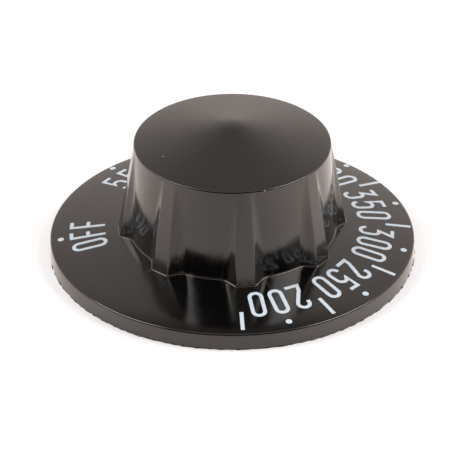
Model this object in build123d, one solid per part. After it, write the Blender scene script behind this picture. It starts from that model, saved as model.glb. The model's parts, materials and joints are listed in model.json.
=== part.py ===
from build123d import *
import os
from math import asin, atan2, copysign, cos, hypot, pi, radians, sin, tan

# Oven temperature knob, in millimetres and degrees.
# +Z is the turning axis and points up through the cap, Z = 0 is the plane of the skirt's
# lower rim, and -X is the direction of the dial's OFF mark.

# Skirt: a wide, shallow cone that carries the printed dial, with an upright rim
SKIRT_DIAMETER = 63.5
RIM_HEIGHT = 2.95
RIM_DRAFT = 2.0
RIM_EDGE_RADIUS = 0.35
RIM_FOOT_RADIUS = 0.15
RIM_WIDTH = 2.2
DIAL_SLOPE = 7.8
SKIRT_WALL = 2.2

# Grip: a drafted round core that ends in a plain shoulder, closed by a low cone
SHOULDER_DIAMETER = 33.84
SHOULDER_HEIGHT = 21.3
SHOULDER_RADIUS = 0.3
GRIP_DRAFT = 4.0
CAP_SLOPE = 13.0
APEX_RADIUS = 10.0
GRIP_FOOT_RADIUS = 0.3
DIAL_TOLERANCE = 0.02

# Ribs: wedges that stand out at the dial and fade into the core below the shoulder
RIB_COUNT = 8
RIB_REACH = 1.9
RIB_FACE_WIDTH = 3.45
RIB_TIP_WIDTH = 2.1
RIB_FLANK_ANGLE = 39.0
RIB_CORNER_RADIUS = 0.6
RIB_ROOT_RADIUS = 2.8
RIB_FADE_DROP = 0.4
RIB_FLANK_FADE = 0.4

# Hollow underside: an even wall, a hub on the axis and webs between the two
GRIP_WALL = 2.6
CAP_WALL = 2.8
CORE_RADIUS = 1.0
HUB_DIAMETER = 12.6
HUB_DRAFT = 1.0
HUB_RECESS = 0.8
WEB_COUNT = 4
WEB_THICKNESS = 2.0
WEB_RECESS = 7.0

# Socket for a round shaft with one flat
SHAFT_DIAMETER = 6.35
SHAFT_ACROSS_FLAT = 4.75
SHAFT_CLEARANCE = 0.1
SOCKET_DEPTH = 16.0
SOCKET_LEAD_IN = 0.4

# Spring clip: a bowed leaf behind the shaft's flat, hooked over the hub's end
CLIP_THICKNESS = 0.4
CLIP_WIDTH = 3.4
CLIP_PRELOAD = 0.095
CLIP_BOW = 0.57
CLIP_HOOK_LENGTH = 1.5
CLIP_BEND_RADIUS = 0.3
CLIP_SIDE_CLEARANCE = 0.15
CLIP_END_CLEARANCE = 0.8
CLIP_STRAIGHT = 2.0

skirt_radius = SKIRT_DIAMETER / 2
skirt_foot_radius = skirt_radius + RIM_HEIGHT * tan(radians(RIM_DRAFT))
shoulder_radius = SHOULDER_DIAMETER / 2
fade_height = SHOULDER_HEIGHT - RIB_FADE_DROP
socket_radius = SHAFT_DIAMETER / 2 + SHAFT_CLEARANCE
shaft_flat = SHAFT_ACROSS_FLAT - SHAFT_DIAMETER / 2
clip_seat = shaft_flat - CLIP_PRELOAD + CLIP_THICKNESS + CLIP_BOW
socket_top = HUB_RECESS + SOCKET_DEPTH
hook_floor = HUB_RECESS + CLIP_THICKNESS


def dial_height(radius):
    """Height of the dial's face at a distance from the axis."""
    return RIM_HEIGHT + (skirt_radius - radius) * tan(radians(DIAL_SLOPE))


def core_radius(height):
    """Radius of the grip's round core, without its ribs."""
    return shoulder_radius + (SHOULDER_HEIGHT - height) * tan(radians(GRIP_DRAFT))


def cap_height(radius):
    """Height of the cap's cone, before its point is rounded."""
    return SHOULDER_HEIGHT + (shoulder_radius - radius) * tan(radians(CAP_SLOPE))


def on_circle(radius, angle):
    """Point on a circle about the axis, with the angle in radians."""
    return (radius * cos(angle), radius * sin(angle))


def make_skirt():
    """Solid skirt: rim, rounded edge and conical dial."""
    inner = core_radius(RIM_HEIGHT) - GRIP_WALL
    outline = Plane.XZ * Polygon(
        (0, 0),
        (skirt_foot_radius, 0),
        (skirt_radius, RIM_HEIGHT),
        (inner, dial_height(inner)),
        (0, dial_height(inner)),
        align=None,
    )
    outline = fillet(outline.vertices().sort_by(Axis.X)[-2], RIM_EDGE_RADIUS)
    outline = fillet(outline.vertices().sort_by(Axis.X)[-1], RIM_FOOT_RADIUS)
    return revolve(outline, Axis.Z)


def rib_outline(radius):
    """Plan of one sharp-cornered rib that starts inside a core of this radius."""
    face = radius + RIB_REACH
    root = radius - RIB_REACH
    half_face = RIB_FACE_WIDTH / 2
    half_root = half_face + (face - root) * tan(radians(RIB_FLANK_ANGLE))
    return Polygon(
        (root, -half_root),
        (face, -half_face),
        (face, half_face),
        (root, half_root),
        align=None,
    )


def ribbed_section(height):
    """Plan of the grip at its foot: a circle with rounded ribs."""
    radius = core_radius(height)
    section = Circle(radius) + PolarLocations(0, RIB_COUNT) * rib_outline(radius)
    corners = [v for v in section.vertices() if hypot(v.X, v.Y) > radius + RIB_REACH / 2]
    section = fillet(corners, RIB_CORNER_RADIUS)
    roots = [v for v in section.vertices() if hypot(v.X, v.Y) < radius + RIB_REACH / 4]
    section = fillet(roots, RIB_ROOT_RADIUS)
    return Pos(0, 0, height) * section


def faded_section(ribbed, height):
    """Circle where the ribs fade out, split into arcs that stand above the ribbed section's edges."""
    radius = core_radius(height)
    pitch = 2 * pi / RIB_COUNT
    foot_face = min(abs(atan2(v.Y, v.X)) for v in ribbed.vertices())
    tip_face = asin(RIB_TIP_WIDTH / 2 / radius)
    angles = []
    for vertex in ribbed.vertices():
        angle = atan2(vertex.Y, vertex.X)
        rib = pitch * round(angle / pitch)
        beside_face = (abs(angle - rib) - foot_face) * RIB_FLANK_FADE
        angles.append(rib + copysign(tip_face + beside_face, angle - rib))
    angles.sort()
    arcs = []
    for begin, end in zip(angles, angles[1:] + [angles[0] + 2 * pi]):
        middle = on_circle(radius, (begin + end) / 2)
        arcs.append(ThreePointArc(on_circle(radius, begin), middle, on_circle(radius, end)))
    return Pos(0, 0, height) * Face(Wire(arcs))


def make_grip():
    """Fluted grip: the ribbed section at its foot, drawn up into a plain circle."""
    ribbed = ribbed_section(RIM_HEIGHT)
    return loft([ribbed, faded_section(ribbed, fade_height)], ruled=True)


def make_cap():
    """Plain band above the ribs, the shoulder's edge and the low cone with its soft point."""
    tangent_radius = APEX_RADIUS * sin(radians(CAP_SLOPE))
    tangent_height = cap_height(tangent_radius)
    apex_height = tangent_height + APEX_RADIUS * (1 - cos(radians(CAP_SLOPE)))
    band = Line((0, fade_height), (core_radius(fade_height), fade_height))
    side = Line(band @ 1, (shoulder_radius, SHOULDER_HEIGHT))
    cone = Line(side @ 1, (tangent_radius, tangent_height))
    point = TangentArc(cone @ 1, (0, apex_height), tangent=cone % 1)
    axis = Line(point @ 1, band @ 0)
    outline = Plane.XZ * make_face([band, side, cone, point, axis])
    shoulder = outline.vertices().sort_by(Axis.X)[-2:].sort_by(Axis.Z)[-1]
    return revolve(fillet(shoulder, SHOULDER_RADIUS), Axis.Z)


def make_shell():
    """Outside of the moulding, solid through, with a small fillet where the grip meets the dial."""
    shell = make_skirt() + make_grip() + make_cap()
    reach = core_radius(RIM_HEIGHT) + RIB_REACH
    foot = []
    for edge in shell.edges():
        middle = edge @ 0.5
        radius = hypot(middle.X, middle.Y)
        if radius < reach and abs(middle.Z - dial_height(radius)) < DIAL_TOLERANCE:
            foot.append(edge)
    return fillet(foot, GRIP_FOOT_RADIUS)


def make_hollow():
    """Space under the dial and inside the grip, open below, an even wall inside the shell."""
    rim = skirt_radius - RIM_WIDTH
    wall = core_radius(RIM_HEIGHT) - GRIP_WALL
    roof = shoulder_radius - GRIP_WALL
    skirt_drop = SKIRT_WALL / cos(radians(DIAL_SLOPE))
    cap_drop = CAP_WALL / cos(radians(CAP_SLOPE))
    outline = Plane.XZ * Polygon(
        (0, -RIM_HEIGHT),
        (rim, -RIM_HEIGHT),
        (rim, dial_height(rim) - skirt_drop),
        (wall, dial_height(wall) - skirt_drop),
        (roof, cap_height(roof) - cap_drop),
        (0, cap_height(0) - cap_drop),
        align=None,
    )
    inside = outline.vertices().filter_by_position(Axis.X, roof / 2, rim)
    inside = inside.filter_by_position(Axis.Z, 0, SHOULDER_HEIGHT)
    return revolve(fillet(inside, CORE_RADIUS), Axis.Z)


def make_hub():
    """Boss on the axis, from just inside the rim's plane up into the cap, wider at its root."""
    length = cap_height(0) - HUB_RECESS
    end = HUB_DIAMETER / 2
    root = end + length * tan(radians(HUB_DRAFT))
    return Pos(0, 0, HUB_RECESS) * Cone(end, root, length, align=(Align.CENTER, Align.CENTER, Align.MIN))


def make_webs():
    """Radial webs that stiffen the hub, set back from the rim's plane."""
    height = cap_height(0) - WEB_RECESS
    lower_end = (Align.MIN, Align.CENTER, Align.MIN)
    web = Pos(0, 0, WEB_RECESS) * Box(core_radius(0), WEB_THICKNESS, height, align=lower_end)
    return PolarLocations(0, WEB_COUNT, 180 / WEB_COUNT) * web


def make_socket():
    """Round hole with one flat, and the notch in the hub's end for the clip's hook."""
    flat = Pos(-clip_seat, 0) * Rectangle(SHAFT_DIAMETER, SHAFT_DIAMETER, align=(Align.MAX, Align.CENTER))
    outline = Circle(socket_radius) - flat
    socket = Pos(0, 0, HUB_RECESS) * extrude(outline, SOCKET_DEPTH)
    notch = Pos(0, 0, HUB_RECESS) * Box(
        clip_seat + CLIP_HOOK_LENGTH + CLIP_SIDE_CLEARANCE,
        CLIP_WIDTH + 2 * CLIP_SIDE_CLEARANCE,
        CLIP_THICKNESS,
        align=(Align.MAX, Align.CENTER, Align.MIN),
    )
    return socket + notch


def make_body():
    """The whole moulding."""
    hollow = make_hollow() - make_hub() - make_webs()
    body = make_shell() - hollow - make_socket()
    corner = body.edges().filter_by(Axis.Y).sort_by_distance((-clip_seat, 0, hook_floor))[0]
    body = chamfer(corner, CLIP_BEND_RADIUS + CLIP_SIDE_CLEARANCE)
    mouth = body.edges().filter_by(GeomType.CIRCLE).sort_by_distance((socket_radius, 0, HUB_RECESS))[0]
    return chamfer(mouth, SOCKET_LEAD_IN)


def make_clip():
    """Leaf of spring steel: a hook on the hub's end, a straight leg and a bow towards the shaft."""
    leg_top = hook_floor + CLIP_STRAIGHT
    leaf_top = socket_top - CLIP_END_CLEARANCE
    bow = (-clip_seat + CLIP_BOW, (leg_top + leaf_top) / 2)
    hook = FilletPolyline(
        (-clip_seat - CLIP_HOOK_LENGTH, hook_floor),
        (-clip_seat, hook_floor),
        (-clip_seat, leg_top),
        radius=CLIP_BEND_RADIUS,
    )
    leaf = ThreePointArc(hook @ 1, bow, (-clip_seat, leaf_top))
    outline = offset(Curve() + [hook, leaf], CLIP_THICKNESS, side=Side.RIGHT)
    return extrude(Plane.XZ * make_face(outline), CLIP_WIDTH / 2, both=True)


os.makedirs("parts", exist_ok=True)
for name, solid in (("knob_body", make_body()), ("shaft_spring_clip", make_clip())):
    export_step(solid, f"parts/{name}.step")
    print(name, "volume", round(solid.volume, 2), "solids", len(solid.solids()), "valid", solid.is_valid)
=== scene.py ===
# %% [markdown]
# # Oven temperature knob
# A push-on knob for the shaft of an oven's temperature control: a wide skirt with a printed
# dial, a fluted grip and a low conical cap, moulded in one piece from black phenolic. The CAD
# model is the frame: its two nodes stay where they are and get real finishes here. The ink,
# the dust and the small moulding marks are added as thin pieces of their own, because a
# designer leaves them out of the solid and the eye misses them at once.

# %% Load the frame
import json
from math import atan2, cos, dist, pi, radians, sin

import bmesh
import bpy
import numpy as np
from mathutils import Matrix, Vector

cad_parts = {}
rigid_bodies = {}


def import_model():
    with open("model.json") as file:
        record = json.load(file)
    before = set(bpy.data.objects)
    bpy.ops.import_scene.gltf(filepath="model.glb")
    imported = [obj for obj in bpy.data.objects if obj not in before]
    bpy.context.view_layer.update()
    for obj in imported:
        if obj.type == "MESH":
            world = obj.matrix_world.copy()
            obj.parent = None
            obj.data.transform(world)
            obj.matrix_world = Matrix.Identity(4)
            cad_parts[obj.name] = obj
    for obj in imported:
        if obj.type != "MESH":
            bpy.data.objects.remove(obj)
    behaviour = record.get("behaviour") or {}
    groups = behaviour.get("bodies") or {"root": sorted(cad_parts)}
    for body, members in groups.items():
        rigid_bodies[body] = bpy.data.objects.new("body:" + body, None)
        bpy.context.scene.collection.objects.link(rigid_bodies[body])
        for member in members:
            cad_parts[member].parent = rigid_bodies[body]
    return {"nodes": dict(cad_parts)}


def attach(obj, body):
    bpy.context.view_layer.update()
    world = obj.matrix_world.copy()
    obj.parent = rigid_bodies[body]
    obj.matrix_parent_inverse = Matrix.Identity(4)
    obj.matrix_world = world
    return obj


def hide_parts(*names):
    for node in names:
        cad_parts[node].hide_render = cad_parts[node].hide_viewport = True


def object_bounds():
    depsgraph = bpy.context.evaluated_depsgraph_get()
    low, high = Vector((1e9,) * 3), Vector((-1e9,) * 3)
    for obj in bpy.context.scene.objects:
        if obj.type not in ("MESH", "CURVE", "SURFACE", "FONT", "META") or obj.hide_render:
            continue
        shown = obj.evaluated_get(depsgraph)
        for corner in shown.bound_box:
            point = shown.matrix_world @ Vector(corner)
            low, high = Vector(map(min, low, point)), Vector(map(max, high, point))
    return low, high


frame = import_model()
cad_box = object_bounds()
knob_body = frame["nodes"]["knob_body"]
spring_clip = frame["nodes"]["shaft_spring_clip"]
MM = 0.001
print("CAD nodes:", sorted(frame["nodes"]))

# %% [markdown]
# ## Camera
# The photograph was taken with a long lens, a little above the knob, with the OFF mark
# turned a few degrees away from the picture's left edge. Turning the camera round the knob
# instead of the knob under the camera keeps the part in its own frame.

# %% Camera
CAMERA_TURN = 6.56
CAMERA_ELEVATION = 32.01
CAMERA_DISTANCE = 465.4 * MM
CAMERA_LENS = 208.7
CAMERA_SENSOR = 36
AIM = Vector((-0.4, 0.05, 3.47)) * MM

UP = Vector((0, 0, 1))
picture_away = Vector((sin(radians(CAMERA_TURN)), cos(radians(CAMERA_TURN)), 0))
picture_right = picture_away.cross(UP)
sight = UP * sin(radians(CAMERA_ELEVATION)) - picture_away * cos(radians(CAMERA_ELEVATION))

camera = bpy.data.objects.new("camera", bpy.data.cameras.new("camera"))
camera.data.lens = CAMERA_LENS
camera.data.sensor_width = CAMERA_SENSOR
camera.location = AIM + sight * CAMERA_DISTANCE
camera.rotation_euler = (-sight).to_track_quat("-Z", "Y").to_euler()
bpy.context.scene.collection.objects.link(camera)
bpy.context.scene.camera = camera
bpy.context.scene.view_settings.view_transform = "Standard"
print("camera at", [round(c, 4) for c in camera.location])

# %% [markdown]
# ## Node helpers
# Materials, the studio and the Geometry Nodes trees are all node trees, so one function
# adds a node anywhere: it takes the node's settings by name, and for each input either a
# value or the output that feeds it. Colours are written as the sRGB hex values that a
# designer would pick and turned to linear light here.

# %% Node helpers
def add_node(tree, kind, inputs=None, **settings):
    """Adds a node with its settings; inputs are values, or outputs to link from."""
    node = tree.nodes.new(kind)
    for name, value in settings.items():
        setattr(node, name, value)
    for key, value in (inputs or {}).items():
        if isinstance(value, bpy.types.NodeSocket):
            tree.links.new(value, node.inputs[key])
        else:
            node.inputs[key].default_value = value
    return node


def linear(hex_colour):
    """Linear RGBA of an sRGB hex colour such as #1A1A1A."""
    values = [int(hex_colour[i : i + 2], 16) / 255 for i in (1, 3, 5)]
    return [v / 12.92 if v <= 0.04045 else ((v + 0.055) / 1.055) ** 2.4 for v in values] + [1.0]


def new_material(name):
    """An empty node material and its tree."""
    material = bpy.data.materials.new(name)
    material.use_nodes = True
    material.node_tree.nodes.clear()
    return material, material.node_tree


def finish_material(tree, shader):
    """Links a shader to the material's output."""
    add_node(tree, "ShaderNodeOutputMaterial", {"Surface": shader.outputs[0]})


print("mid grey in linear light:", round(linear("#808080")[0], 3))

# %% [markdown]
# ## Studio
# The knob stands in a small tent of slightly warm white cloth. On gloss black nearly all that
# the eye gets is this room's reflection, so it matters more than the black itself: the greys
# are the tent's walls, and the black stripes are a gap all round between the walls and the
# lit roof, and the opening on the camera's side. A real tent would need a model of its own;
# drawn in the world by direction, it is only a few numbers. The camera itself sees plain
# white behind the knob.

# %% Walls of the tent
CLOTH = "#FFF2EB"
WALL_LOW = 1.28
WALL_HIGH = 0.98
WALL_TOP = 0.72
GAP_DARK = 0.18
ROOF_LIGHT = 1.0
SIDE_LOW = 0.7
SIDE_HIGH = 1.3
RIGHT_BIAS = 0.3
OPENING = 0.06

# Where each part of the room starts and is complete, as the share of a direction that
# points up, across the picture, or away from the camera.
BACK_FOOT = (0.15, 0.4)
BACK_HEAD = (0.4, 0.74)
SIDE_RISE = (0.1, 0.4)
SIDE_START = (0.55, 0.85)
OPENING_EDGE = (-0.6, -0.2)
GAP_EDGE = (0.72, 0.8)
ROOF_EDGE = (0.89, 0.94)

world = bpy.data.worlds.new("studio")
bpy.context.scene.world = world
world.use_nodes = True
world.node_tree.nodes.clear()
studio = world.node_tree
direction = add_node(studio, "ShaderNodeTexCoord").outputs["Generated"]
up, right, away = [
    add_node(
        studio, "ShaderNodeVectorMath", {0: direction, 1: axis}, operation="DOT_PRODUCT"
    ).outputs["Value"]
    for axis in (UP, picture_right, picture_away)
]
across = add_node(studio, "ShaderNodeMath", {0: right}, operation="ABSOLUTE").outputs[0]

# %% Back wall
back_low = add_node(
    studio,
    "ShaderNodeMapRange",
    {
        "Value": up,
        "From Min": BACK_FOOT[0],
        "From Max": BACK_FOOT[1],
        "To Min": WALL_LOW,
        "To Max": WALL_HIGH,
    },
    interpolation_type="SMOOTHSTEP",
)
back_high = add_node(
    studio,
    "ShaderNodeMapRange",
    {
        "Value": up,
        "From Min": BACK_HEAD[0],
        "From Max": BACK_HEAD[1],
        "To Min": 1.0,
        "To Max": WALL_TOP,
    },
)
back = add_node(
    studio,
    "ShaderNodeMath",
    {0: back_low.outputs["Result"], 1: back_high.outputs["Result"]},
    operation="MULTIPLY",
)
bias = add_node(
    studio,
    "ShaderNodeMath",
    {0: right, 1: RIGHT_BIAS, 2: 1.0},
    operation="MULTIPLY_ADD",
)
back = add_node(
    studio,
    "ShaderNodeMath",
    {0: back.outputs[0], 1: bias.outputs[0]},
    operation="MULTIPLY",
)
print("back wall from", WALL_LOW, "at its foot to", round(WALL_HIGH * WALL_TOP, 2))

# %% Side walls, opening, gap and roof
beside_knob = add_node(
    studio,
    "ShaderNodeMapRange",
    {"Value": across, "From Min": SIDE_START[0], "From Max": SIDE_START[1]},
    interpolation_type="SMOOTHSTEP",
)
side_wall = add_node(
    studio,
    "ShaderNodeMapRange",
    {
        "Value": up,
        "From Min": SIDE_RISE[0],
        "From Max": SIDE_RISE[1],
        "To Min": SIDE_LOW,
        "To Max": SIDE_HIGH,
    },
    interpolation_type="SMOOTHSTEP",
)
walls = add_node(
    studio,
    "ShaderNodeMix",
    {
        "Factor": beside_knob.outputs["Result"],
        "A": back.outputs[0],
        "B": side_wall.outputs["Result"],
    },
    data_type="FLOAT",
)
opening = add_node(
    studio,
    "ShaderNodeMapRange",
    {
        "Value": away,
        "From Min": OPENING_EDGE[0],
        "From Max": OPENING_EDGE[1],
        "To Min": OPENING,
        "To Max": 1.0,
    },
    interpolation_type="SMOOTHSTEP",
)
walls = add_node(
    studio,
    "ShaderNodeMath",
    {0: walls.outputs["Result"], 1: opening.outputs["Result"]},
    operation="MULTIPLY",
)
below_roof = add_node(
    studio,
    "ShaderNodeMapRange",
    {
        "Value": up,
        "From Min": GAP_EDGE[0],
        "From Max": GAP_EDGE[1],
        "To Min": walls.outputs[0],
        "To Max": GAP_DARK,
    },
    interpolation_type="SMOOTHSTEP",
)
room = add_node(
    studio,
    "ShaderNodeMapRange",
    {
        "Value": up,
        "From Min": ROOF_EDGE[0],
        "From Max": ROOF_EDGE[1],
        "To Min": below_roof.outputs["Result"],
        "To Max": ROOF_LIGHT,
    },
    interpolation_type="SMOOTHSTEP",
)
path = add_node(studio, "ShaderNodeLightPath")
cloth = add_node(
    studio,
    "ShaderNodeBackground",
    {"Color": linear(CLOTH), "Strength": room.outputs["Result"]},
)
backdrop = add_node(
    studio,
    "ShaderNodeBackground",
    {"Color": (1, 1, 1, 1), "Strength": 1.0},
)
seen = add_node(
    studio,
    "ShaderNodeMixShader",
    {0: path.outputs["Is Camera Ray"], 1: cloth.outputs[0], 2: backdrop.outputs[0]},
)
add_node(studio, "ShaderNodeOutputWorld", {"Surface": seen.outputs[0]})
print("tent:", len(studio.nodes), "nodes")

# %% [markdown]
# ## Soft boxes
# A soft box hangs over each side of the knob, slanted so that its front end is nearer to the
# middle. They give the light on the ink and the table, and the bright lines on the edges.
# Lamps are used rather than bright patches of the world, because they throw a real shadow.

# %% Soft boxes
BOX_WIDTH = 0.085
BOX_DEPTH = 0.16
BOX_ACROSS = 0.172
BOX_AWAY = -0.02
BOX_HEIGHT = 0.2
BOX_TURN = -38
BOX_LIGHT = 9.0
BOX_COLOUR = "#FFF9F4"

for name, hand in (("soft_box_left", -1), ("soft_box_right", 1)):
    box = bpy.data.objects.new(name, bpy.data.lights.new(name, "AREA"))
    box.data.shape = "RECTANGLE"
    box.data.size = BOX_WIDTH
    box.data.size_y = BOX_DEPTH
    box.data.energy = BOX_LIGHT * pi * BOX_WIDTH * BOX_DEPTH
    box.data.color = linear(BOX_COLOUR)[:3]
    box.location = picture_right * BOX_ACROSS * hand + picture_away * BOX_AWAY + UP * BOX_HEIGHT
    box.rotation_euler = (0, 0, radians(BOX_TURN * hand - CAMERA_TURN))
    bpy.context.scene.collection.objects.link(box)
    print(name, "watts", round(box.data.energy, 2))

# %% [markdown]
# ## Table
# The knob lies on a white table that runs out of the picture. Its paint takes the shadow, a
# cool glow that only the camera sees lifts it to the white of the backdrop, and a warm glow
# that only reflections see is painted light, standing for the light which the tent throws on
# it: more at the sides and the back, and most of all close to the rim's front corners, where it
# lifts the shade that the knob casts on the table.

# %% Table
TABLE_HALF = 3.0
TABLE_PAINT = "#E6E2DE"
TABLE_LIGHT = "#DAEDFF"
TABLE_GLOW = 0.34
FRONT_GLOW = 0.24
SIDE_GLOW = 0.54
BACK_GLOW = 0.28
RIM_GLOW = 0.22
RIM_CORNER_GLOW = 0.56
RIM_SIDE_GLOW = 0.22
RIGHT_STRETCH = 0.2
SIDE_REACH = (10 * MM, 80 * MM)
BACK_REACH = (-40 * MM, 40 * MM)
CORNER_REACH = (-28 * MM, -8 * MM)
RIM_ACROSS = (5 * MM, 25 * MM)
RIM_REACH = (36 * MM, 44 * MM)

table_material, tree = new_material("white_table")
place = add_node(tree, "ShaderNodeTexCoord").outputs["Object"]
reach = add_node(tree, "ShaderNodeVectorMath", {0: place}, operation="LENGTH")
right, away = [
    add_node(
        tree, "ShaderNodeVectorMath", {0: place, 1: axis}, operation="DOT_PRODUCT"
    ).outputs["Value"]
    for axis in (picture_right, picture_away)
]
across = add_node(tree, "ShaderNodeMath", {0: right}, operation="ABSOLUTE")
across = add_node(
    tree,
    "ShaderNodeMath",
    {0: right, 1: RIGHT_STRETCH, 2: across.outputs[0]},
    operation="MULTIPLY_ADD",
).outputs[0]

# %% Glow of the table in reflections: painted light, strongest beside the rim
side_glow = add_node(
    tree,
    "ShaderNodeMapRange",
    {
        "Value": across,
        "From Min": SIDE_REACH[0],
        "From Max": SIDE_REACH[1],
        "To Min": FRONT_GLOW,
        "To Max": FRONT_GLOW + SIDE_GLOW,
    },
    interpolation_type="SMOOTHSTEP",
)
back_glow = add_node(
    tree,
    "ShaderNodeMapRange",
    {
        "Value": away,
        "From Min": BACK_REACH[0],
        "From Max": BACK_REACH[1],
        "To Max": BACK_GLOW,
    },
    interpolation_type="SMOOTHSTEP",
)
# Painted light close to the rim, brightest at its front corners: it fills in the knob's own
# shade on the table as reflections see it.
corner_glow = add_node(
    tree,
    "ShaderNodeMapRange",
    {
        "Value": away,
        "From Min": CORNER_REACH[0],
        "From Max": CORNER_REACH[1],
        "To Min": RIM_CORNER_GLOW,
        "To Max": RIM_SIDE_GLOW,
    },
    interpolation_type="SMOOTHSTEP",
)
rim_glow = add_node(
    tree,
    "ShaderNodeMapRange",
    {
        "Value": across,
        "From Min": RIM_ACROSS[0],
        "From Max": RIM_ACROSS[1],
        "To Min": RIM_GLOW,
        "To Max": corner_glow.outputs["Result"],
    },
    interpolation_type="SMOOTHSTEP",
)
rim_glow = add_node(
    tree,
    "ShaderNodeMapRange",
    {
        "Value": reach.outputs["Value"],
        "From Min": RIM_REACH[0],
        "From Max": RIM_REACH[1],
        "To Min": rim_glow.outputs["Result"],
        "To Max": 0.0,
    },
    interpolation_type="SMOOTHSTEP",
)
mirrored = side_glow.outputs["Result"]
for glow in (back_glow, rim_glow):
    mirrored = add_node(
        tree,
        "ShaderNodeMath",
        {0: mirrored, 1: glow.outputs["Result"]},
        operation="ADD",
    ).outputs[0]
print("glow at the knob's front:", FRONT_GLOW + RIM_GLOW)

# %% Paint of the table
path = add_node(tree, "ShaderNodeLightPath")
mirrored = add_node(
    tree,
    "ShaderNodeMath",
    {0: path.outputs["Is Glossy Ray"], 1: mirrored},
    operation="MULTIPLY",
)
seen = add_node(
    tree,
    "ShaderNodeMath",
    {0: path.outputs["Is Camera Ray"], 1: TABLE_GLOW},
    operation="MULTIPLY",
)
warm_glow = add_node(
    tree,
    "ShaderNodeEmission",
    {"Color": linear(CLOTH), "Strength": mirrored.outputs[0]},
)
cool_glow = add_node(
    tree,
    "ShaderNodeEmission",
    {"Color": linear(TABLE_LIGHT), "Strength": seen.outputs[0]},
)
glow = add_node(tree, "ShaderNodeAddShader", {0: warm_glow.outputs[0], 1: cool_glow.outputs[0]})
paint = add_node(tree, "ShaderNodeBsdfDiffuse", {"Color": linear(TABLE_PAINT)})
lit_paint = add_node(tree, "ShaderNodeAddShader", {0: paint.outputs[0], 1: glow.outputs[0]})
finish_material(tree, lit_paint)

table_mesh = bpy.data.meshes.new("table")
corners = [(x * TABLE_HALF, y * TABLE_HALF, 0) for x, y in ((-1, -1), (1, -1), (1, 1), (-1, 1))]
table_mesh.from_pydata(corners, [], [(0, 1, 2, 3)])
table_mesh.materials.append(table_material)
table = bpy.data.objects.new("table", table_mesh)
bpy.context.scene.collection.objects.link(table)
print("table side in metres:", 2 * TABLE_HALF)

# %% [markdown]
# ## Black phenolic
# The knob is a compression moulding of black phenolic. Where the mould was polished, on the
# dial, the rim and the grip, the skin is a gloss that shows the room almost like a mirror;
# the cap was left with the fine satin of the tool's turning. It is one material with two
# finishes, told apart by height, since the moulding has no seam between them.

# %% Black phenolic
PHENOLIC_BLACK = "#040404"
PHENOLIC_IOR = 1.65
CAP_FOOT = 21.27 * MM
CAP_BLEND = 0.06 * MM
GLOSS_ROUGHNESS = (0.12, 0.17)
SATIN_ROUGHNESS = (0.34, 0.42)
SKIN_RIPPLE = 2.5 * MM
SATIN_GRAIN = 0.12 * MM
RIPPLE_BUMP = 0.1
RIPPLE_DEPTH = 0.01 * MM

# A noise texture keeps mostly to the middle of its range, so this part of it is used.
NOISE_LOW = 0.3
NOISE_HIGH = 0.7
SOFT_DETAIL = 2.0
FINE_DETAIL = 3.0


def moulded_phenolic():
    """Gloss black resin, with a satin cap and a faint ripple in the gloss."""
    material, tree = new_material("moulded_black_phenolic")
    place = add_node(tree, "ShaderNodeTexCoord").outputs["Object"]
    height = add_node(tree, "ShaderNodeSeparateXYZ", {0: place}).outputs["Z"]
    cap = add_node(
        tree,
        "ShaderNodeMapRange",
        {"Value": height, "From Min": CAP_FOOT - CAP_BLEND, "From Max": CAP_FOOT + CAP_BLEND},
        interpolation_type="SMOOTHSTEP",
    )
    ripple = add_node(
        tree,
        "ShaderNodeTexNoise",
        {"Vector": place, "Scale": 1 / SKIN_RIPPLE, "Detail": SOFT_DETAIL},
    )
    grain = add_node(
        tree,
        "ShaderNodeTexNoise",
        {"Vector": place, "Scale": 1 / SATIN_GRAIN, "Detail": FINE_DETAIL},
    )
    gloss, satin = [
        add_node(
            tree,
            "ShaderNodeMapRange",
            {
                "Value": noise.outputs["Fac"],
                "From Min": NOISE_LOW,
                "From Max": NOISE_HIGH,
                "To Min": limits[0],
                "To Max": limits[1],
            },
        ).outputs["Result"]
        for noise, limits in ((ripple, GLOSS_ROUGHNESS), (grain, SATIN_ROUGHNESS))
    ]
    roughness = add_node(
        tree,
        "ShaderNodeMix",
        {"Factor": cap.outputs["Result"], "A": gloss, "B": satin},
        data_type="FLOAT",
    )
    bump = add_node(
        tree,
        "ShaderNodeBump",
        {"Height": ripple.outputs["Fac"], "Strength": RIPPLE_BUMP, "Distance": RIPPLE_DEPTH},
    )
    resin = add_node(
        tree,
        "ShaderNodeBsdfPrincipled",
        {
            "Base Color": linear(PHENOLIC_BLACK),
            "Roughness": roughness.outputs["Result"],
            "IOR": PHENOLIC_IOR,
            "Normal": bump.outputs["Normal"],
        },
    )
    finish_material(tree, resin)
    return material


phenolic = moulded_phenolic()
knob_body.material_slots[0].material = phenolic
print("knob_body:", phenolic.name)

# %% [markdown]
# ## Spring steel
# The clip in the hub is punched from rolled spring steel strip and bent, so it is grey and
# half bright, with the faint lines of the rolls along the strip. Noise that is stretched
# along the strip gives such lines.

# %% Spring steel
STEEL_GREY = "#B4B5B8"
STEEL_ROUGHNESS = (0.28, 0.42)
ROLL_LINES = 0.15 * MM
ROLL_STRETCH = 0.05


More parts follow.
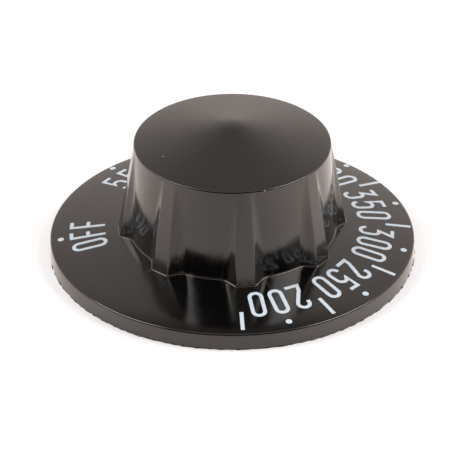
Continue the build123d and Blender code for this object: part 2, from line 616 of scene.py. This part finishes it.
def rolled_spring_steel():
    """Cold-rolled strip: grey, half bright, with fine lines along Z."""
    material, tree = new_material("rolled_spring_steel")
    place = add_node(tree, "ShaderNodeTexCoord").outputs["Object"]
    along = add_node(
        tree,
        "ShaderNodeMapping",
        {"Vector": place, "Scale": (1, 1, ROLL_STRETCH)},
    )
    lines = add_node(
        tree,
        "ShaderNodeTexNoise",
        {"Vector": along.outputs[0], "Scale": 1 / ROLL_LINES, "Detail": SOFT_DETAIL},
    )
    roughness = add_node(
        tree,
        "ShaderNodeMapRange",
        {
            "Value": lines.outputs["Fac"],
            "From Min": NOISE_LOW,
            "From Max": NOISE_HIGH,
            "To Min": STEEL_ROUGHNESS[0],
            "To Max": STEEL_ROUGHNESS[1],
        },
    )
    metal = add_node(
        tree,
        "ShaderNodeBsdfPrincipled",
        {
            "Base Color": linear(STEEL_GREY),
            "Metallic": 1.0,
            "Roughness": roughness.outputs["Result"],
        },
    )
    finish_material(tree, metal)
    return material


spring_clip.material_slots[0].material = rolled_spring_steel()
print("shaft_spring_clip:", spring_clip.material_slots[0].material.name)

# %% [markdown]
# ## White ink
# The dial is printed in one colour of white ink, a little blue, which dries to a satin film
# and covers unevenly. Noise mixes the colour of thin and of full ink.

# %% White ink
INK_THIN = "#BECFE0"
INK_FULL = "#DCECF7"
INK_ROUGHNESS = 0.55
INK_PATCH = 0.5 * MM


def printed_white_ink():
    """Satin white ink, slightly blue, a little thinner in places."""
    material, tree = new_material("printed_white_ink")
    place = add_node(tree, "ShaderNodeTexCoord").outputs["Object"]
    patch = add_node(
        tree,
        "ShaderNodeTexNoise",
        {"Vector": place, "Scale": 1 / INK_PATCH, "Detail": SOFT_DETAIL},
    )
    colour = add_node(
        tree,
        "ShaderNodeMix",
        {"Factor": patch.outputs["Fac"], "A": linear(INK_THIN), "B": linear(INK_FULL)},
        data_type="RGBA",
    )
    ink = add_node(
        tree,
        "ShaderNodeBsdfPrincipled",
        {"Base Color": colour.outputs["Result"], "Roughness": INK_ROUGHNESS},
    )
    finish_material(tree, ink)
    return material


white_ink = printed_white_ink()
print("ink:", white_ink.name)

# %% [markdown]
# ## Skin of the moulding
# The moulding is turned and fluted, and light runs over it without a break. The frame's mesh
# is made of flat triangles, and gloss shows each of them. More triangles would only hide
# this, so a copy of the mesh keeps its shape and gets the real surface's normals instead: on
# the grip the larger faces decide, and on what a lathe turned in the mould, the dial, rim
# and cap, each ring of points has one slope all the way round.

# %% Copy of the moulding's mesh
MERGE_DISTANCE = 0.001 * MM
SHARP_ANGLE = 35
LARGE_FACES_LEAD = 100


def merged_copy(mesh):
    """A copy of a mesh with its points joined, smooth apart from its sharp edges."""
    copy = mesh.copy()
    shape = bmesh.new()
    shape.from_mesh(copy)
    bmesh.ops.remove_doubles(shape, verts=shape.verts, dist=MERGE_DISTANCE)
    shape.to_mesh(copy)
    shape.free()
    if "custom_normal" in copy.attributes:
        copy.attributes.remove(copy.attributes["custom_normal"])
    copy.shade_smooth()
    copy.set_sharp_from_angle(angle=radians(SHARP_ANGLE))
    return copy


def plain_mesh(piece):
    """The piece's mesh as its modifiers leave it."""
    evaluated = piece.evaluated_get(bpy.context.evaluated_depsgraph_get())
    return bpy.data.meshes.new_from_object(evaluated)


def face_led(piece):
    """The piece's mesh with normals that follow its larger faces."""
    leading = piece.modifiers.new("leading_faces", "WEIGHTED_NORMAL")
    leading.keep_sharp = True
    leading.weight = LARGE_FACES_LEAD
    mesh = plain_mesh(piece)
    piece.modifiers.clear()
    return mesh


skin = bpy.data.objects.new("knob_skin", merged_copy(knob_body.data))
bpy.context.scene.collection.objects.link(skin)
skin.data = face_led(skin)
print("knob_skin faces", len(skin.data.polygons))

# %% Normals of the turned faces
RING_STEP = 0.004 * MM
DIAL_INSIDE = 20.7 * MM
DIAL_LOWEST = 2.8 * MM
RIM_BAND = 0.45 * MM
RIM_INSIDE = cad_box[1].x - RIM_BAND
CAP_LOWEST = 20.95 * MM


def turn_normals(mesh):
    """Gives each ring of points on the turned outside one slope all the way round."""
    places = np.zeros((len(mesh.vertices), 3))
    mesh.vertices.foreach_get("co", places.ravel())
    corner_points = np.zeros(len(mesh.loops), int)
    mesh.loops.foreach_get("vertex_index", corner_points)
    normals = np.zeros((len(mesh.loops), 3))
    mesh.corner_normals.foreach_get("vector", normals.ravel())
    places = places[corner_points]
    radius = np.hypot(places[:, 0], places[:, 1])
    height = places[:, 2]
    dial = (radius > DIAL_INSIDE) & (height > DIAL_LOWEST)
    cap = (height > CAP_LOWEST) & (normals[:, 2] > 0)
    turned = (dial | cap | (radius > RIM_INSIDE)) & (radius > RING_STEP)
    outward = places[turned, :2] / radius[turned, None]
    slope = np.stack([(normals[turned, :2] * outward).sum(1), normals[turned, 2]], 1)
    ring = np.round(np.stack([radius[turned], height[turned]], 1) / RING_STEP)
    rings, which = np.unique(ring, axis=0, return_inverse=True)
    total = np.zeros((len(rings), 2))
    np.add.at(total, which.ravel(), slope)
    total /= np.hypot(total[:, 0], total[:, 1])[:, None]
    slope = total[which.ravel()]
    normals[turned] = np.column_stack([outward * slope[:, :1], slope[:, 1]])
    mesh.normals_split_custom_set(normals)
    return len(rings)


print("rings turned:", turn_normals(skin.data))
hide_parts("knob_body")
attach(skin, "root")

# %% [markdown]
# ## Laying ink on the dial
# Printing puts a flat picture onto a cone. The same is done here: the marks are drawn flat,
# as seen from above, and a node group drops each point straight down onto the dial, which
# is found in the CAD mesh. The print's centre is a little off the knob's, so points past the
# dial's edge are first drawn back to it. A second group gives the film its thickness. Words
# and marks share both.

# %% Dropping points onto the knob
DIAL_MARGIN = 0.4 * MM
DIAL_EDGE = cad_box[1].x - DIAL_MARGIN
ABOVE_KNOB = cad_box[1].z


def group_socket(tree, name, kind, in_out="INPUT"):
    """Adds a named socket to a node group."""
    return tree.interface.new_socket(name=name, in_out=in_out, socket_type="NodeSocket" + kind)


def make_drop():
    """Node group that drops points straight down onto the knob."""
    tree = bpy.data.node_groups.new("drop_on_knob", "GeometryNodeTree")
    group_socket(tree, "Geometry", "Geometry")
    group_socket(tree, "Geometry", "Geometry", "OUTPUT")
    given = add_node(tree, "NodeGroupInput").outputs
    knob = add_node(tree, "GeometryNodeObjectInfo", {"Object": knob_body})
    place = add_node(tree, "GeometryNodeInputPosition").outputs[0]
    reach = add_node(tree, "ShaderNodeVectorMath", {0: place}, operation="LENGTH")
    part = add_node(
        tree,
        "ShaderNodeMath",
        {0: DIAL_EDGE, 1: reach.outputs["Value"]},
        operation="DIVIDE",
    )
    part = add_node(
        tree,
        "ShaderNodeMath",
        {0: part.outputs[0], 1: 1.0},
        operation="MINIMUM",
    )
    kept = add_node(
        tree,
        "ShaderNodeVectorMath",
        {0: place, "Scale": part.outputs[0]},
        operation="SCALE",
    )
    above = add_node(
        tree,
        "ShaderNodeVectorMath",
        {0: kept.outputs[0], 1: (0, 0, ABOVE_KNOB)},
        operation="ADD",
    )
    drop = add_node(
        tree,
        "GeometryNodeRaycast",
        {
            "Target Geometry": knob.outputs["Geometry"],
            "Source Position": above.outputs[0],
            "Ray Direction": (0, 0, -1),
            "Ray Length": 2 * ABOVE_KNOB,
        },
    )
    laid = add_node(
        tree,
        "GeometryNodeSetPosition",
        {"Geometry": given["Geometry"], "Position": drop.outputs["Hit Position"]},
    )
    add_node(tree, "NodeGroupOutput", {"Geometry": laid.outputs[0]})
    return tree


drop_on_knob = make_drop()
print("node group:", drop_on_knob.name)

# %% Film of ink
INK_FILM = 0.02 * MM
FILM_MERGE = INK_FILM / 20


def make_ink_film():
    """Node group that lays flat faces on the knob as a closed film."""
    tree = bpy.data.node_groups.new("ink_film", "GeometryNodeTree")
    group_socket(tree, "Flat", "Geometry")
    group_socket(tree, "Film", "Float")
    group_socket(tree, "Geometry", "Geometry", "OUTPUT")
    given = add_node(tree, "NodeGroupInput").outputs
    laid = add_node(tree, "GeometryNodeGroup", node_tree=drop_on_knob)
    tree.links.new(given["Flat"], laid.inputs["Geometry"])
    top = add_node(
        tree,
        "GeometryNodeExtrudeMesh",
        {
            "Mesh": laid.outputs[0],
            "Offset": (0, 0, 1),
            "Offset Scale": given["Film"],
            "Individual": False,
        },
    )
    under = add_node(tree, "GeometryNodeFlipFaces", {"Mesh": laid.outputs[0]})
    both = add_node(tree, "GeometryNodeJoinGeometry", {"Geometry": top.outputs["Mesh"]})
    tree.links.new(under.outputs[0], both.inputs["Geometry"])
    closed = add_node(
        tree,
        "GeometryNodeMergeByDistance",
        {"Geometry": both.outputs[0], "Distance": FILM_MERGE},
    )
    add_node(tree, "NodeGroupOutput", {"Geometry": closed.outputs[0]})
    return tree


ink_film = make_ink_film()
print("node group:", ink_film.name)

# %% [markdown]
# ## From a tree to a piece
# Each tree runs as a modifier on a helper object, with its named inputs set, and the result
# is kept as a plain mesh, since an exported model carries no node trees. The piece then goes
# with the knob's only body.

# %% From a tree to a piece
def run_tree(piece, tree, **values):
    """Runs a Geometry Nodes tree on a piece with these inputs and returns a plain mesh."""
    bpy.context.scene.collection.objects.link(piece)
    modifier = piece.modifiers.new(tree.name, "NODES")
    modifier.node_group = tree
    for item in tree.interface.items_tree:
        if item.in_out == "INPUT" and item.name in values:
            modifier[item.identifier] = values[item.name]
    mesh = plain_mesh(piece)
    bpy.data.objects.remove(piece)
    return mesh


def add_piece(name, mesh):
    """A finished piece of the knob, which goes with its only body."""
    piece = bpy.data.objects.new(name, mesh)
    bpy.context.scene.collection.objects.link(piece)
    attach(piece, "root")
    print(name, "faces", len(mesh.polygons))
    return piece


# %% [markdown]
# ## Dots and ticks
# A dot marks OFF and each temperature, and a tick stands half way between. Both are bars
# with rounded corners, one of them as long as it is wide, so one tree draws them: points go
# round the dial by steps, and at each a rounded rectangle turns to point outwards.

# %% A row of marks
PRINT_CENTRE = Vector((0.109, 0.611, 0)) * MM
CORNER_POINTS = 8


def make_mark_row():
    """Tree for a row of marks along an arc of the dial."""
    tree = bpy.data.node_groups.new("dial_marks", "GeometryNodeTree")
    group_socket(tree, "Geometry", "Geometry")
    group_socket(tree, "Count", "Int")
    for name in ("Radius", "Start angle", "Step angle", "Length", "Width", "Corner", "Film"):
        group_socket(tree, name, "Float")
    group_socket(tree, "Geometry", "Geometry", "OUTPUT")
    given = add_node(tree, "NodeGroupInput").outputs
    index = add_node(tree, "GeometryNodeInputIndex")
    angle = add_node(
        tree,
        "ShaderNodeMath",
        {0: index.outputs[0], 1: given["Step angle"], 2: given["Start angle"]},
        operation="MULTIPLY_ADD",
    )
    turn = add_node(tree, "ShaderNodeCombineXYZ", {"Z": angle.outputs[0]})
    arm = add_node(tree, "ShaderNodeCombineXYZ", {"X": given["Radius"]})
    place = add_node(
        tree,
        "ShaderNodeVectorRotate",
        {"Vector": arm.outputs[0], "Angle": angle.outputs[0]},
        rotation_type="Z_AXIS",
    )
    centred = add_node(
        tree,
        "ShaderNodeVectorMath",
        {0: place.outputs[0], 1: PRINT_CENTRE},
        operation="ADD",
    )
    places = add_node(
        tree,
        "GeometryNodePoints",
        {"Count": given["Count"], "Position": centred.outputs[0]},
    )
    bar = add_node(
        tree,
        "GeometryNodeCurvePrimitiveQuadrilateral",
        {"Width": given["Length"], "Height": given["Width"]},
    )
    rounded = add_node(
        tree,
        "GeometryNodeFilletCurve",
        {"Curve": bar.outputs["Curve"], "Count": CORNER_POINTS, "Radius": given["Corner"]},
        mode="POLY",
    )
    flat = add_node(tree, "GeometryNodeFillCurve", {"Curve": rounded.outputs[0]}, mode="NGONS")
    marks = add_node(
        tree,
        "GeometryNodeInstanceOnPoints",
        {"Points": places.outputs[0], "Instance": flat.outputs[0], "Rotation": turn.outputs[0]},
    )
    real = add_node(tree, "GeometryNodeRealizeInstances", {"Geometry": marks.outputs[0]})
    film = add_node(tree, "GeometryNodeGroup", node_tree=ink_film)
    tree.links.new(real.outputs[0], film.inputs["Flat"])
    tree.links.new(given["Film"], film.inputs["Film"])
    inked = add_node(
        tree,
        "GeometryNodeSetMaterial",
        {"Geometry": film.outputs[0], "Material": white_ink},
    )
    add_node(tree, "NodeGroupOutput", {"Geometry": inked.outputs[0]})
    return tree


mark_row = make_mark_row()
print("tree:", mark_row.name)

# %% Dots and ticks
FIRST_ANGLE = -78.61
STEP_ANGLE = 29.70
OFF_ANGLE = 179.8
TEMPERATURES = [str(degrees) for degrees in range(200, 551, 50)]
DOT_RADIUS = 30.28 * MM
DOT_SIZE = 1.1 * MM
# A hair under half the dot, because corners of a full half would leave no side between them.
DOT_CORNER = 0.499 * DOT_SIZE
OFF_DOT_RADIUS = 30.02 * MM
TICK_RADIUS = 29.0 * MM
TICK_LENGTH = 4.4 * MM
TICK_WIDTH = 0.66 * MM
TICK_CORNER = 0.06 * MM


def add_marks(name, count, start, radius, length, width, corner):
    """Prints a row of marks, one step of the scale apart."""
    values = {
        "Count": count,
        "Radius": radius,
        "Start angle": radians(start),
        "Step angle": radians(STEP_ANGLE),
        "Length": length,
        "Width": width,
        "Corner": corner,
        "Film": INK_FILM,
    }
    blank = bpy.data.objects.new("blank", bpy.data.meshes.new("blank"))
    return add_piece(name, run_tree(blank, mark_row, **values))


steps = len(TEMPERATURES)
first_tick = FIRST_ANGLE - STEP_ANGLE / 2
dot = (DOT_SIZE, DOT_SIZE, DOT_CORNER)
tick = (TICK_LENGTH, TICK_WIDTH, TICK_CORNER)
add_marks("off_dot", 1, OFF_ANGLE, OFF_DOT_RADIUS, *dot)
add_marks("temperature_dots", steps, FIRST_ANGLE, DOT_RADIUS, *dot)
add_marks("half_step_ticks", steps, first_tick, TICK_RADIUS, *tick)

# %% [markdown]
# ## Numbers and OFF
# The lettering is the plain, narrow kind with strokes of one width that was drawn for
# engraving. So each character is the path of its stroke, made of lines and arcs, and its
# outline is that path widened to both sides, square at the ends. A font would bring its own
# character, and a tube along the path would leave faces buried inside each other. Sizes of
# the letters are in millimetres, and a character stands on 0 and is centred across.

# %% Characters as paths
LETTER_HEIGHT = 6.2
LETTER_WIDTH = 2.65
STROKE = 0.66
FOOT = STROKE / 2
TOP = LETTER_HEIGHT - STROKE / 2
BOWL = (LETTER_WIDTH - STROKE) / 2
ARC_STEP = 12


def arc(centre, radius, start, end):
    """Points along an arc, from one angle in degrees to another, either way round."""
    steps = max(2, round(abs(end - start) / ARC_STEP))
    angles = [radians(start + (end - start) * i / steps) for i in range(steps + 1)]
    return [(centre[0] + radius * cos(a), centre[1] + radius * sin(a)) for a in angles]


def oval():
    """0 and O: two half circles joined by straight sides, a closed path."""
    return arc((0, TOP - BOWL), BOWL, 0, 180) + arc((0, FOOT + BOWL), BOWL, 180, 360)


def lower_bowl(top, start):
    """The right and lower side of 3 and 5, from a start angle on its upper arc."""
    return arc((0, top - BOWL), BOWL, start, 0) + arc((0, FOOT + BOWL), BOWL, 0, -180)


def two():
    """2: a hook, a slanted stroke that bends a little both ways, and a flat foot."""
    hook_end = (-BOWL, 0.7 * LETTER_HEIGHT)
    upper_bend = (-0.2 * BOWL, 0.4 * LETTER_HEIGHT)
    lower_bend = (-0.75 * BOWL, 0.24 * LETTER_HEIGHT)
    hook = [hook_end] + arc((0, TOP - BOWL), BOWL, 180, -35)
    return hook + [upper_bend, lower_bend, (-BOWL, FOOT), (BOWL + STROKE / 2, FOOT)]


def three():
    """3 with a flat top."""
    bar = [(-BOWL, TOP), (0.9 * BOWL, TOP)]
    waist = (-0.3 * BOWL, 0.57 * LETTER_HEIGHT)
    bowl_top = 0.58 * LETTER_HEIGHT
    return bar + [waist] + lower_bowl(bowl_top, 70)


def five():
    """5 with a flat top."""
    bar = [(BOWL, TOP), (-0.85 * BOWL, TOP)]
    neck = (-0.95 * BOWL, 0.5 * LETTER_HEIGHT)
    bowl_top = 0.62 * LETTER_HEIGHT
    return bar + [neck] + lower_bowl(bowl_top, 125)


def four():
    """4: an open triangle with its bar, and the stem below the bar."""
    stem = 0.45 * BOWL
    bar = 0.32 * LETTER_HEIGHT
    upper = [(stem, bar + FOOT), (stem, TOP), (-BOWL, bar), (BOWL + STROKE / 2, bar)]
    return [upper, [(stem, bar - FOOT), (stem, 0)]]


def letter_f():
    """F: stem and upper arm in one stroke, and the lower arm."""
    stem = -0.8 * BOWL
    arm = 0.48 * LETTER_HEIGHT
    arm_end = 0.75 * BOWL
    return [[(stem, 0), (stem, TOP), (BOWL, TOP)], [(stem + FOOT, arm), (arm_end, arm)]]


OPEN_PATHS = {"2": [two()], "3": [three()], "4": four(), "5": [five()], "F": letter_f()}
CLOSED_PATHS = {"0": oval(), "O": oval()}
print("characters:", "".join(sorted(list(OPEN_PATHS) + list(CLOSED_PATHS))))

# %% Outlines of the strokes
LONGEST_CORNER = 2.0
SAME_POINT = 1e-6


def left_side(path, closed=False):
    """Points half a stroke to the left of a path, with pointed corners."""
    outline = []
    last = len(path) - 1
    for i, (x, y) in enumerate(path):
        before = path[i - 1] if i > 0 or closed else None
        after = path[(i + 1) % len(path)] if i < last or closed else None
        heading_in = atan2(y - before[1], x - before[0]) if before else None
        heading_out = atan2(after[1] - y, after[0] - x) if after else heading_in
        heading_in = heading_out if heading_in is None else heading_in
        turn = (heading_out - heading_in + pi) % (2 * pi) - pi
        reach = STROKE / 2 * min(1 / cos(turn / 2), LONGEST_CORNER)
        normal = heading_in + turn / 2 + pi / 2
        outline.append((x + reach * cos(normal), y + reach * sin(normal)))
    return outline


def character_outlines(character):
    """Closed outlines of a character; the second of an oval's two is its hole."""
    if character in CLOSED_PATHS:
        path = CLOSED_PATHS[character]
        before = path[-1:] + path
        path = [point for point, last in zip(path, before) if dist(point, last) > SAME_POINT]
        return [left_side(path[::-1], closed=True), left_side(path, closed=True)]
    return [left_side(path) + left_side(path[::-1]) for path in OPEN_PATHS[character]]


print("outlines of 4:", len(character_outlines("4")))

# %% Words round the dial
LETTER_GAP = 1.05
LETTER_FOOT = 22.0
OFF_FOOT = 22.25


def word_points(word, angle, foot):
    """Outlines of a word in millimetres on the dial, tops outwards, read clockwise."""
    outlines = {character: character_outlines(character) for character in word}
    edges = {}
    for character, lines in outlines.items():
        spread = [x for outline in lines for x, _ in outline]
        edges[character] = (min(spread), max(spread))
    length = sum(edges[c][1] - edges[c][0] for c in word) + LETTER_GAP * (len(word) - 1)
    along = -length / 2
    for character in word:
        left, right = edges[character]
        middle = radians(angle) - (along + (right - left) / 2) / (foot + LETTER_HEIGHT / 2)
        along += right - left + LETTER_GAP
        for outline in outlines[character]:
            points = []
            for x, y in outline:
                across = x - (left + right) / 2
                out = foot + y
                dial_x = out * cos(middle) + across * sin(middle)
                dial_y = out * sin(middle) - across * cos(middle)
                points.append((dial_x, dial_y))
            yield points


def make_word_print():
    """Tree that fills closed outlines and lays them on the dial."""
    tree = bpy.data.node_groups.new("dial_words", "GeometryNodeTree")
    group_socket(tree, "Geometry", "Geometry")
    group_socket(tree, "Film", "Float")
    group_socket(tree, "Geometry", "Geometry", "OUTPUT")
    given = add_node(tree, "NodeGroupInput").outputs
    flat = add_node(
        tree,
        "GeometryNodeFillCurve",
        {"Curve": given["Geometry"]},
        mode="TRIANGLES",
    )
    film = add_node(tree, "GeometryNodeGroup", node_tree=ink_film)
    tree.links.new(flat.outputs[0], film.inputs["Flat"])
    tree.links.new(given["Film"], film.inputs["Film"])
    real = add_node(tree, "GeometryNodeRealizeInstances", {"Geometry": film.outputs[0]})
    inked = add_node(
        tree,
        "GeometryNodeSetMaterial",
        {"Geometry": real.outputs[0], "Material": white_ink},
    )
    add_node(tree, "NodeGroupOutput", {"Geometry": inked.outputs[0]})
    return tree


word_print = make_word_print()


def add_word(name, word, angle, foot):
    """Prints one word of the dial."""
    drawing = bpy.data.curves.new(name, "CURVE")
    for points in word_points(word, angle, foot):
        spline = drawing.splines.new("POLY")
        spline.points.add(len(points) - 1)
        for point, (x, y) in zip(spline.points, points):
            point.co = (*(Vector((x, y, 0)) * MM + PRINT_CENTRE), 1)
        spline.use_cyclic_u = True
    sheet = bpy.data.objects.new("drawing", drawing)
    return add_piece(name, run_tree(sheet, word_print, Film=INK_FILM))


add_word("print_off", "OFF", OFF_ANGLE, OFF_FOOT)
for step, word in enumerate(TEMPERATURES):
    add_word("print_" + word, word, FIRST_ANGLE + STEP_ANGLE * step, LETTER_FOOT)

# %% [markdown]
# ## Dust and a nick
# The knob has lain about: a few specks of dust stick to the cap and one to the dial, and the
# cap's edge has a small pale nick. Each is a flattened grain, and one tree drops all the
# grains of a kind onto the knob, each turned its own way and roughened by noise.

# %% Grains
GRAIN_NARROWNESS = 0.7
GRAIN_TILT = 0.3
GRAIN_ROUNDS = 3
GRAIN_ROUGHNESS = 0.9
DUST_MOTTLE = 0.1 * MM
MIDDLE_OF_NOISE = (0.5, 0.5, 0.5)


def matte_grain(name, dark, light):
    """Matte grey grain, mottled, as dust and broken phenolic are."""
    material, tree = new_material(name)
    place = add_node(tree, "ShaderNodeTexCoord").outputs["Object"]
    mottle = add_node(
        tree,
        "ShaderNodeTexNoise",
        {"Vector": place, "Scale": 1 / DUST_MOTTLE, "Detail": SOFT_DETAIL},
    )
    colour = add_node(
        tree,
        "ShaderNodeMix",
        {"Factor": mottle.outputs["Fac"], "A": linear(dark), "B": linear(light)},
        data_type="RGBA",
    )
    matte = add_node(
        tree,
        "ShaderNodeBsdfPrincipled",
        {"Base Color": colour.outputs["Result"], "Roughness": GRAIN_ROUGHNESS},
    )
    finish_material(tree, matte)
    return material


def make_grains():
    """Tree that puts a flattened grain on the knob below each point."""
    tree = bpy.data.node_groups.new("grains", "GeometryNodeTree")
    group_socket(tree, "Geometry", "Geometry")
    group_socket(tree, "Flatness", "Float")
    group_socket(tree, "Seed", "Int")
    group_socket(tree, "Material", "Material")
    group_socket(tree, "Geometry", "Geometry", "OUTPUT")
    given = add_node(tree, "NodeGroupInput").outputs
    laid = add_node(tree, "GeometryNodeGroup", node_tree=drop_on_knob)
    tree.links.new(given["Geometry"], laid.inputs["Geometry"])
    grain = add_node(
        tree,
        "GeometryNodeMeshIcoSphere",
        {"Radius": 1.0, "Subdivisions": GRAIN_ROUNDS},
    )
    size = add_node(tree, "GeometryNodeInputNamedAttribute", {"Name": "size"}, data_type="FLOAT")
    shape = add_node(
        tree,
        "ShaderNodeCombineXYZ",
        {"X": 1.0, "Y": GRAIN_NARROWNESS, "Z": given["Flatness"]},
    )
    scale = add_node(
        tree,
        "ShaderNodeVectorMath",
        {0: shape.outputs[0], "Scale": size.outputs[0]},
        operation="SCALE",
    )
    turn = add_node(
        tree,
        "FunctionNodeRandomValue",
        {"Min": (0, 0, 0), "Max": (GRAIN_TILT, GRAIN_TILT, 2 * pi), "Seed": given["Seed"]},
        data_type="FLOAT_VECTOR",
    )
    grains = add_node(
        tree,
        "GeometryNodeInstanceOnPoints",
        {
            "Points": laid.outputs[0],
            "Instance": grain.outputs["Mesh"],
            "Rotation": turn.outputs[0],
            "Scale": scale.outputs[0],
        },
    )
    real = add_node(tree, "GeometryNodeRealizeInstances", {"Geometry": grains.outputs[0]})
    lumps = add_node(tree, "ShaderNodeTexNoise", {"Scale": 1 / DUST_MOTTLE})
    offset = add_node(
        tree,
        "ShaderNodeVectorMath",
        {0: lumps.outputs["Color"], 1: MIDDLE_OF_NOISE},
        operation="SUBTRACT",
    )
    offset = add_node(
        tree,
        "ShaderNodeVectorMath",
        {0: offset.outputs[0], "Scale": DUST_MOTTLE},
        operation="SCALE",
    )
    rough = add_node(
        tree,
        "GeometryNodeSetPosition",
        {"Geometry": real.outputs[0], "Offset": offset.outputs[0]},
    )
    done = add_node(
        tree,
        "GeometryNodeSetMaterial",
        {"Geometry": rough.outputs[0], "Material": given["Material"]},
    )
    add_node(tree, "NodeGroupOutput", {"Geometry": done.outputs[0]})
    return tree


grain_tree = make_grains()
print("tree:", grain_tree.name)

# %% Dust and a nick
# Each grain is its place across and along the knob and its size, in millimetres.
SPECKS = [
    (-12.3, -5.1, 0.19),
    (-9.7, -1.4, 0.07),
    (7.5, -2.1, 0.08),
    (7.8, -5.3, 0.06),
    (3.9, -7.3, 0.07),
    (-7.2, -5.6, 0.08),
    (14.7, -7.3, 0.09),
    (-25.3, -5.5, 0.1),
]
NICKS = [(3.5, -16.5, 0.2)]
GRAIN_FLATNESS = 0.3
GRAIN_SEED = 7
DUST_COLOURS = ("#7E766E", "#B5ADA2")
CHIP_COLOURS = ("#8A837C", "#C9C2B8")


def add_grains(name, grains, material):
    """Lays grains of these places and sizes, in millimetres, on the knob."""
    places = bpy.data.meshes.new("places")
    places.from_pydata([(x * MM, y * MM, 0) for x, y, _ in grains], [], [])
    sizes = places.attributes.new("size", "FLOAT", "POINT")
    sizes.data.foreach_set("value", [size * MM for _, _, size in grains])
    blank = bpy.data.objects.new("places", places)
    values = {"Flatness": GRAIN_FLATNESS, "Seed": GRAIN_SEED, "Material": material}
    return add_piece(name, run_tree(blank, grain_tree, **values))


add_grains("dust_specks", SPECKS, matte_grain("settled_dust", *DUST_COLOURS))
add_grains("edge_nick", NICKS, matte_grain("chipped_phenolic", *CHIP_COLOURS))

# %% [markdown]
# ## Flash on the rim's foot
# The mould closed along the foot of the rim, and a thin ragged fin of phenolic was left there
# and only roughly trimmed. It is a narrow band round the foot, whose edge noise makes uneven,
# so that it sticks out of the foot's rounded corner in places. What would pass the part's own
# box is trimmed to it.

# %% Flash on the rim's foot
FLASH_WIDTH = 0.5 * MM
FLASH_THICKNESS = 0.14 * MM
FLASH_RAGGED = 0.16 * MM
FLASH_LENGTH = 1.2 * MM
FLASH_POINTS = 1200
FLASH_RADIUS = cad_box[1].x - FLASH_WIDTH / 2


def make_flash():
    """Tree for a ragged flat band round the rim's foot."""
    tree = bpy.data.node_groups.new("rim_flash", "GeometryNodeTree")
    group_socket(tree, "Geometry", "Geometry")
    group_socket(tree, "Radius", "Float")
    group_socket(tree, "Ragged", "Float")
    group_socket(tree, "Geometry", "Geometry", "OUTPUT")
    given = add_node(tree, "NodeGroupInput").outputs
    ring = add_node(
        tree,
        "GeometryNodeCurvePrimitiveCircle",
        {"Resolution": FLASH_POINTS, "Radius": given["Radius"]},
    )
    fin = add_node(
        tree,
        "GeometryNodeCurvePrimitiveQuadrilateral",
        {"Width": FLASH_WIDTH, "Height": FLASH_THICKNESS},
    )
    band = add_node(
        tree,
        "GeometryNodeCurveToMesh",
        {"Curve": ring.outputs["Curve"], "Profile Curve": fin.outputs["Curve"]},
    )
    place = add_node(tree, "GeometryNodeInputPosition").outputs[0]
    outward = add_node(
        tree,
        "ShaderNodeVectorMath",
        {0: place, 1: (1, 1, 0)},
        operation="MULTIPLY",
    )
    outward = add_node(
        tree,
        "ShaderNodeVectorMath",
        {0: outward.outputs[0]},
        operation="NORMALIZE",
    )
    noise = add_node(
        tree,
        "ShaderNodeTexNoise",
        {"Scale": 1 / FLASH_LENGTH, "Detail": FINE_DETAIL},
    )
    ragged = add_node(
        tree,
        "ShaderNodeMapRange",
        {
            "Value": noise.outputs["Fac"],
            "From Min": NOISE_LOW,
            "From Max": NOISE_HIGH,
            "To Min": -1.0,
            "To Max": 1.0,
        },
    )
    reach = add_node(
        tree,
        "ShaderNodeMath",
        {0: ragged.outputs["Result"], 1: given["Ragged"]},
        operation="MULTIPLY",
    )
    shift = add_node(
        tree,
        "ShaderNodeVectorMath",
        {0: outward.outputs[0], "Scale": reach.outputs[0]},
        operation="SCALE",
    )
    uneven = add_node(
        tree,
        "GeometryNodeSetPosition",
        {"Geometry": band.outputs[0], "Offset": shift.outputs[0]},
    )
    lifted = add_node(
        tree,
        "GeometryNodeSetPosition",
        {"Geometry": uneven.outputs[0], "Offset": (0, 0, FLASH_THICKNESS / 2)},
    )
    below = add_node(
        tree,
        "ShaderNodeVectorMath",
        {0: place, 1: cad_box[1]},
        operation="MINIMUM",
    )
    inside = add_node(
        tree,
        "ShaderNodeVectorMath",
        {0: below.outputs[0], 1: cad_box[0]},
        operation="MAXIMUM",
    )
    trimmed = add_node(
        tree,
        "GeometryNodeSetPosition",
        {"Geometry": lifted.outputs[0], "Position": inside.outputs[0]},
    )
    real = add_node(tree, "GeometryNodeRealizeInstances", {"Geometry": trimmed.outputs[0]})
    done = add_node(
        tree,
        "GeometryNodeSetMaterial",
        {"Geometry": real.outputs[0], "Material": phenolic},
    )
    add_node(tree, "NodeGroupOutput", {"Geometry": done.outputs[0]})
    return tree


blank = bpy.data.objects.new("blank", bpy.data.meshes.new("blank"))
flash = run_tree(blank, make_flash(), Radius=FLASH_RADIUS, Ragged=FLASH_RAGGED)
add_piece("rim_flash", flash)
